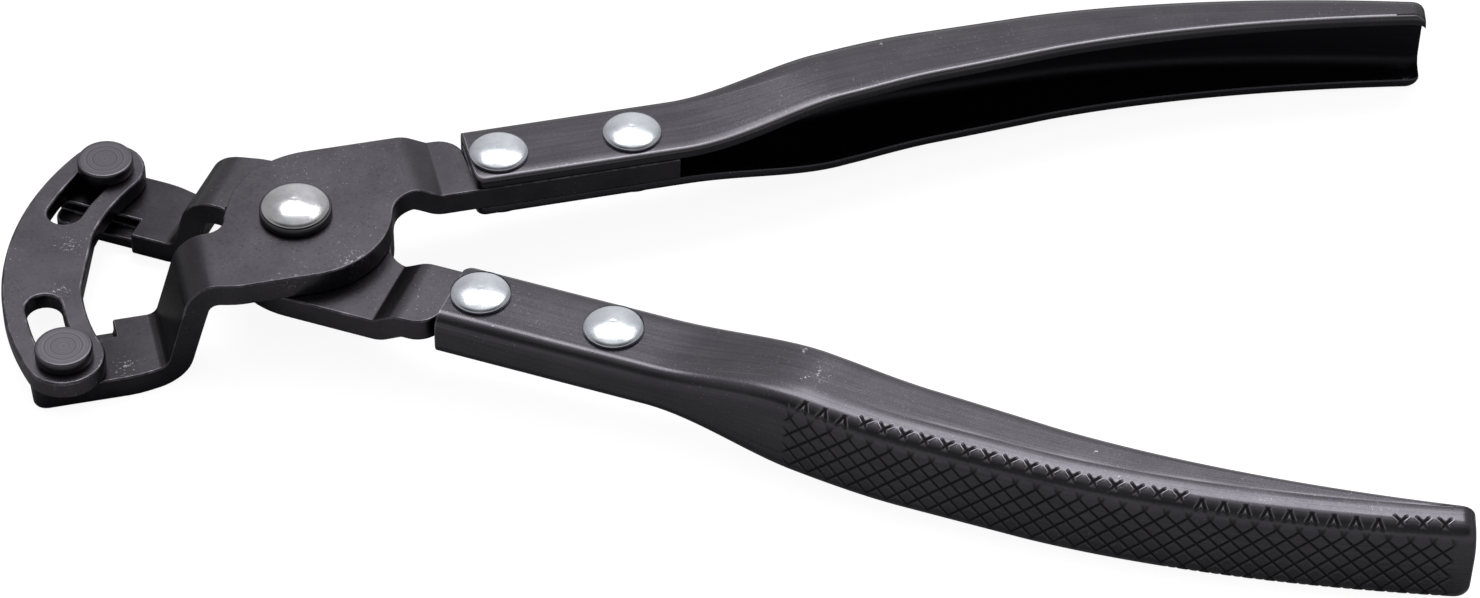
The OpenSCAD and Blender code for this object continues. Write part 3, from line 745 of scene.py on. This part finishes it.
def channel_handle(name, lower):
    """Knurled channel: section points set square to the back's line at each row, pressed in
    along the section's normal by the grooves' depth and raised by the burr."""
    u, rows, length = channel_stations()
    marked = 1 if lower else -1
    d, z, cols = channel_section(u, marked)
    gaps = np.hypot(np.diff(d[TRACK_ROW]), np.diff(z[TRACK_ROW]))
    track = np.concatenate([[0], np.cumsum(gaps)])
    groove, burr = knurl(rows, cols, u, marked)
    pressed = KNURL_DEPTH * (groove - BURR_SHARE * burr)
    plain = np.zeros(BEYOND_ARC)
    d = d + pressed * both_halves(1, np.concatenate([np.cos(ARC_TURN), plain]))
    z = z + pressed * both_halves(0, np.concatenate([-np.sin(ARC_TURN), plain]), -1)
    slope = web_line(u + 0.5) - web_line(u - 0.5)
    size = np.hypot(slope, 1)
    points = np.stack(
        [u[:, None] + d * (slope / size)[:, None], web_line(u)[:, None] - d / size[:, None], z],
        axis=-1,
    )
    faces = channel_faces(rows, cols)
    if not lower:
        faces = faces[:, ::-1]
    # Darkening for the material: the grooves' depth, partly oxide and partly painted shade, and
    # painted shade over the channel's inside
    groove_oxide_and_painted_shade = groove.copy()
    groove_oxide_and_painted_shade[:, np.abs(cols) > WEB_COLS + HALF_COLS - INNER_COLS] = PAINTED_INSIDE_SHADE
    uv = np.stack([length[:, None] + 0 * d, track[None, :] + 0 * d], -1).reshape(-1, 2)
    return mesh_object(
        name,
        lever_to_frame(points, lower).reshape(-1, 3),
        faces.tolist(),
        uv,
        {"groove": groove_oxide_and_painted_shade, "edge": handle_wear_and_highlights(u, cols, burr)},
        SHEET_OXIDE,
    )


# Rivets, pins and washer

RIVET_SEGMENTS, TURNED_SEGMENTS, DOME_POINTS = 112, 96, 18
# A head's chamfered foot inwards and upwards, its fillet, and the dome's waves and pip
FOOT_IN, FOOT_UP, HEAD_FILLET, FILLET_DEGREES = 0.15, 0.12, 0.22, 3
WAVE_DEPTH, PIP_DEPTH = 0.05, 0.05
# A pin's flared tail, its head's rounded rim as steps in from the radius and down from the top,
# and the wear on the last three of them
PIN_FLARE_R = 3.3
PIN_RIM = ((0, 0.36), (0.03, 0.26), (0.19, 0.05), (0.27, 0.01))
PIN_RIM_WEAR = (0.05, 0.25, 0.05)
# The turned face's first and last ring, their number, and its depth below the top
FACE_R, FACE_MIDDLE_R, FACE_RINGS, FACE_DOWN = 4.4, 0.3, 24, 0.02
WASHER_CHAMFER = 0.15


def turned(profile, segments):
    """Points of a profile of (radius, height) turned about a vertical axis, x being radius
    times cosine and y radius times sine, and a UV of three times the angle and the radius."""
    angle = 2 * np.pi * np.arange(segments) / segments
    radius = profile[:, :1]
    x, y = radius * np.cos(angle), radius * np.sin(angle)
    z = profile[:, 1:] + 0 * x
    uv = np.stack([angle * 3 + 0 * x, radius + 0 * x], -1).reshape(-1, 2)
    return x, y, z, uv


def ring_quads(a, b):
    """Quads between rings a and b of point numbers, closed round the axis."""
    a2, b2 = np.roll(a, -1, 1), np.roll(b, -1, 1)
    return np.stack([a, a2, b2, b], -1).reshape(-1, 4).tolist()


def revolve(name, profile, centre, segments, finish, wobble=None, edge=None):
    """Solid from a profile whose first and last points lie on the axis and become single
    poles. wobble(x, y, height) changes heights a little to break the perfect dome, and edge is
    the wear at each point of the profile."""
    profile = np.asarray(profile, float)
    x, y, z, uv = turned(profile[1:-1], segments)
    poles = np.array([[0, 0, profile[0, 1]], [0, 0, profile[-1, 1]]])
    if wobble is not None:
        z = z + wobble(x, y, z)
        poles[:, 2] += wobble(np.zeros(2), np.zeros(2), poles[:, 2])
    points = np.vstack([np.stack([x, y, z], -1).reshape(-1, 3), poles])
    points[:, :2] += centre[:2]
    n = len(profile) - 2
    index = np.arange(n * segments).reshape(n, segments)
    bottom, top = n * segments, n * segments + 1
    first, last = index[0].tolist(), index[-1].tolist()
    faces = ring_quads(index[:-1], index[1:])
    faces += [[bottom, q, p] for p, q in zip(first, first[1:] + first[:1])]
    faces += [[top, p, q] for p, q in zip(last, last[1:] + last[:1])]
    uv = np.vstack([uv, [[0, profile[0, 0]], [0, profile[-1, 0]]]])
    worn = np.zeros(len(profile)) if edge is None else np.asarray(edge, float)
    worn = np.concatenate([np.repeat(worn[1:-1], segments), worn[[0, -1]]])
    return mesh_object(name, points, faces, uv, {"edge": worn}, finish)


def head_profile(head_r, rim, dome, seat):
    """Half profile of a low dome on a rim, from its seat outwards and up to the axis. The
    dome's radius is (r² + h²) / 2h, and a small fillet joins it to the rim."""
    ball = (head_r**2 + dome**2) / (2 * dome)
    reach = math.degrees(math.asin(head_r / ball))
    from_degrees = 90 - reach + FILLET_DEGREES
    cap = arc_points(0, seat + rim + dome - ball, ball, from_degrees, 90, DOME_POINTS)
    foot = [[head_r - FOOT_IN, seat], [head_r, seat + FOOT_UP]]
    fillet = [[head_r, seat + rim - HEAD_FILLET], [head_r - 0.05, seat + rim + 0.02]]
    return np.vstack([foot, fillet, cap])


def domed_rivet(name, finish, centre, seats, shank_r, head, seed):
    """Rivet with two heads on its lower and upper seat: shank, seats and domes as one profile.
    head is its radius, rim and dome. The set tool leaves each dome a little flat and dimpled,
    as slow waves, a sine across x times a cosine across y, and a small pip near its middle."""
    head_r, rim, _ = head
    low, high = seats
    bottom = head_profile(*head, 0.0)
    bottom[:, 1] = low - bottom[:, 1]
    shank = [[shank_r, low], [shank_r, high]]
    profile = np.vstack([bottom[::-1], shank, head_profile(*head, high)])
    middle = (low + high) / 2

    def wobble(x, y, z):
        """Change of height at x, y and z: both domes are pressed inwards, and the rest stays."""
        inwards = np.clip(1 - np.hypot(x, y) / head_r, 0, 1)
        wave = np.sin(1.1 * x + seed) * np.cos(0.9 * y - 2 * seed)
        pip = np.exp(-((x - 0.2 * math.cos(seed)) ** 2 / 0.16 + (y - 0.1) ** 2 / 0.05))
        lift = -WAVE_DEPTH * inwards * (1 + wave) - PIP_DEPTH * pip
        on_dome = np.abs(z - middle) > high - middle + rim * 0.99
        return np.where(on_dome, np.sign(z - middle) * lift, 0)

    return revolve(name, profile, centre, RIVET_SEGMENTS, finish, wobble)


def handle_rivet(side, number):
    """Rivet through both flanges and the tang; each has its own dimples."""
    u = RIVET_U + (number - 1) * RIVET_PITCH
    centre = lever_to_frame(np.array([u, RIVET_V, 0.0]), side == "lower")
    node = f"{side}_handle_rivet_{number}"
    seats = (-ROOT_HALF_H, ROOT_HALF_H)
    head = (RIVET_HEAD_R, RIVET_RIM, RIVET_DOME)
    rivet = domed_rivet(node + "_zinc", ZINC, centre, seats, RIVET_SHANK_R, head, number)
    fit_piece(rivet, node, side + "_arm")


def pivot_rivet():
    """Bigger rivet whose lower head seats on the lower lever and upper head on the washer."""
    seats = (-PLATE_TOP, WASHER_BOTTOM + WASHER_T)
    head = (PIVOT_HEAD_R, PIVOT_RIM, PIVOT_DOME)
    rivet = domed_rivet(
        "pivot_rivet_zinc", DULL_ZINC, np.zeros(2), seats, PIVOT_SHANK_R, head, 2.0
    )
    fit_piece(rivet, "pivot_rivet", "lower_arm")


def jaw_pin(side):
    """Headed pin: a riveted tail flush with the jaw's underside, a shank in the jaw, a wider
    one in the link's slot, and a head with a rounded rim and a face of turned rings."""
    centre = lever_to_frame(np.array([-PIN_U, -PIN_V, 0.0]), side == "lower")
    under = -JAW_DEPTH - PLATE_T
    top = PIN_SEAT + PIN_HEAD_H
    rings = np.append(np.linspace(FACE_R, FACE_MIDDLE_R, FACE_RINGS), 0)
    tail_top = under + COUNTERSINK - RIVET_FIT
    tail = [[0, under], [PIN_FLARE_R, under], [PIN_TAIL_R, tail_top]]
    shank = [[PIN_TAIL_R, -JAW_DEPTH], [PIN_R, -JAW_DEPTH], [PIN_R, PIN_SEAT]]
    foot = [[PIN_HEAD_R - FOOT_UP, PIN_SEAT], [PIN_HEAD_R, PIN_SEAT + FOOT_UP]]
    rim = [[PIN_HEAD_R - inwards, top - down] for inwards, down in PIN_RIM]
    face = np.stack([rings, np.full_like(rings, top - FACE_DOWN)], -1)
    profile = np.vstack([tail, shank, foot, rim, face])
    worn = np.zeros(len(profile))
    worn_to = len(profile) - len(face)
    worn[worn_to - len(PIN_RIM_WEAR) : worn_to] = PIN_RIM_WEAR
    pin = revolve(
        side + "_jaw_pin_turned", profile, centre, TURNED_SEGMENTS, TURNED_PIN, edge=worn
    )
    fit_piece(pin, side + "_jaw_pin", side + "_arm")


def pivot_washer():
    """Flat ring: a rectangle with two small chamfers turned about the axis and closed."""
    low, high = WASHER_BOTTOM, WASHER_BOTTOM + WASHER_T
    bore, face_r = PIVOT_SHANK_R + RIVET_FIT, WASHER_R - WASHER_CHAMFER
    bottom = [[bore, low], [face_r, low], [WASHER_R, low + WASHER_CHAMFER]]
    top = [[WASHER_R, high - WASHER_CHAMFER], [face_r, high], [bore, high]]
    x, y, z, uv = turned(np.array(bottom + top), TURNED_SEGMENTS)
    index = np.arange(x.size).reshape(x.shape)
    ring = mesh_object(
        "pivot_washer_black",
        np.stack([x, y, z], -1).reshape(-1, 3),
        ring_quads(index, np.roll(index, -1, 0)),
        uv,
        {"edge": np.repeat([0, 0, 0.2, 0.2, 0.2, 0], TURNED_SEGMENTS)},
        WASHER_BLACK,
    )
    fit_piece(ring, "pivot_washer", "lower_arm")


# Stage

# Places in millimetres where the tool touches its floor, and the floor's sides in metres
JAW_REAR_X, HANDLE_REST_X, FLOOR_GAP = -21.4, 200.0, 0.05
FLOOR_X, FLOOR_Y = (-1.0, 1.2), (-1.0, 1.4)


def paper():
    """Matt card: grey in the metal, with painted shade that makes it darkest beside the tool,
    standing in for the tool's own shadow as the metal sees it, and pale where the sweep rises
    behind, and white to the camera, where it still takes a faint shadow."""
    material, tree, shader = new_material("white_paper_sweep")
    ahead = add(tree, "SeparateXYZ", {"Vector": add(tree, "TexCoord").outputs["Object"]}
                ).outputs["Y"]
    # Painted shade: darker beside the tool, for the tool's own shadow as the metal sees it
    beside = add(tree, "MapRange", {"Value": ahead, "From Min": -0.06, "From Max": 0.0,
                                    "To Min": 0.5, "To Max": 0.22}).outputs[0]
    behind = add(tree, "MapRange", {"Value": ahead, "From Min": 0.1, "From Max": 0.35,
                                    "To Max": 0.9}).outputs[0]
    grey_with_painted_shade = add(tree, "Math", {0: beside, 1: behind}, operation="MAXIMUM").outputs[0]
    rays = add(tree, "LightPath")
    seen = add(tree, "Math", {0: rays.outputs["Is Camera Ray"], 1: 0.9}, operation="MULTIPLY"
               ).outputs[0]
    shader.inputs["Roughness"].default_value = 1.0
    shader.inputs["Specular IOR Level"].default_value = 0.0
    shader.inputs["Emission Color"].default_value = (1.0, 1.0, 1.0, 1.0)
    tree.links.new(grey_with_painted_shade, shader.inputs["Base Color"])
    tree.links.new(seen, shader.inputs["Emission Strength"])
    return material


def floor():
    """Flat sheet just under the jaws' rear edge and the handles' ends, on which the tool lies
    tilted by about 2 degrees: its height grows with x by the difference of the two depths over
    their distance."""
    jaw_bottom = JAW_DEPTH + PLATE_T
    slope = (jaw_bottom - GRIP_H / 2) / (HANDLE_REST_X - JAW_REAR_X)
    x = np.array([FLOOR_X[0], FLOOR_X[1], FLOOR_X[1], FLOOR_X[0]])
    y = np.repeat(FLOOR_Y, 2)
    z = -(jaw_bottom + FLOOR_GAP) * MM + (x - JAW_REAR_X * MM) * slope
    mesh = bpy.data.meshes.new("paper_floor")
    mesh.from_pydata(np.stack([x, y, z], -1).tolist(), [], [[0, 1, 2, 3]])
    mesh.materials.append(paper())
    obj = bpy.data.objects.new("paper_floor", mesh)
    bpy.context.scene.collection.objects.link(obj)


def white_world():
    """Studio room: pure white to the camera. The metal sees a white backdrop that is dimmer
    towards the sides and darkest overhead behind the camera, and at least half white round the
    horizon. Matt surfaces get a soft even level."""
    world = bpy.data.worlds.new("studio")
    bpy.context.scene.world = world
    world.use_nodes = True
    tree = world.node_tree
    tree.nodes.clear()
    rays = add(tree, "LightPath").outputs
    seen = add(tree, "Math", {0: rays["Is Camera Ray"], 1: rays["Is Glossy Ray"]},
               operation="MAXIMUM").outputs[0]
    seen = add(tree, "Math", {0: seen, 1: rays["Is Transmission Ray"]}, operation="MAXIMUM"
               ).outputs[0]
    way = add(tree, "SeparateXYZ", {"Vector": add(tree, "TexCoord").outputs["Generated"]}).outputs
    depth = add(tree, "MapRange", {"Value": way["Y"], "From Min": -0.35, "From Max": 0.15,
                                   "To Min": 0.2, "To Max": 1.0}).outputs[0]
    horizon = add(tree, "MapRange", {"Value": way["Z"], "From Min": 0.68, "From Max": 0.45,
                                     "To Max": 0.5}).outputs[0]
    aside = add(tree, "Math", {0: way["X"]}, operation="ABSOLUTE").outputs[0]
    aside = add(tree, "MapRange", {"Value": aside, "From Min": 0.05, "From Max": 0.55,
                                   "To Min": 1.0, "To Max": 0.5}).outputs[0]
    room = add(tree, "Math", {0: depth, 1: aside}, operation="MULTIPLY").outputs[0]
    room = add(tree, "Math", {0: room, 1: horizon}, operation="MAXIMUM").outputs[0]
    room = add(tree, "Math", {0: room, 1: rays["Is Camera Ray"]}, operation="MAXIMUM").outputs[0]
    level = add(tree, "Mix", {"Factor": seen, "A": 0.45, "B": room}).outputs["Result"]
    sky = add(tree, "Background", {"Color": (1.0, 1.0, 1.0, 1.0), "Strength": level})
    output = add(tree, "OutputWorld")
    tree.links.new(sky.outputs[0], output.inputs["Surface"])


# The tool and its stage

for side in ("upper", "lower"):
    lever = softened_copy(side + "_lever", 0.35, 2, LEVER_OXIDE)
    fit_piece(lever, side + "_lever", side + "_arm")
    handle = channel_handle(side + "_handle_knurled", side == "lower")
    fit_piece(handle, side + "_handle", side + "_arm")
link = softened_copy("slotted_link", 0.5, 3, PLATE_OXIDE)
fit_piece(link, "slotted_link", "link")
for side in ("upper", "lower"):
    handle_rivet(side, 1)
    handle_rivet(side, 2)
pivot_rivet()
for side in ("upper", "lower"):
    jaw_pin(side)
pivot_washer()

floor()
white_world()
photo_camera()
overhead_softbox()
bpy.context.scene.view_settings.view_transform = "Standard"
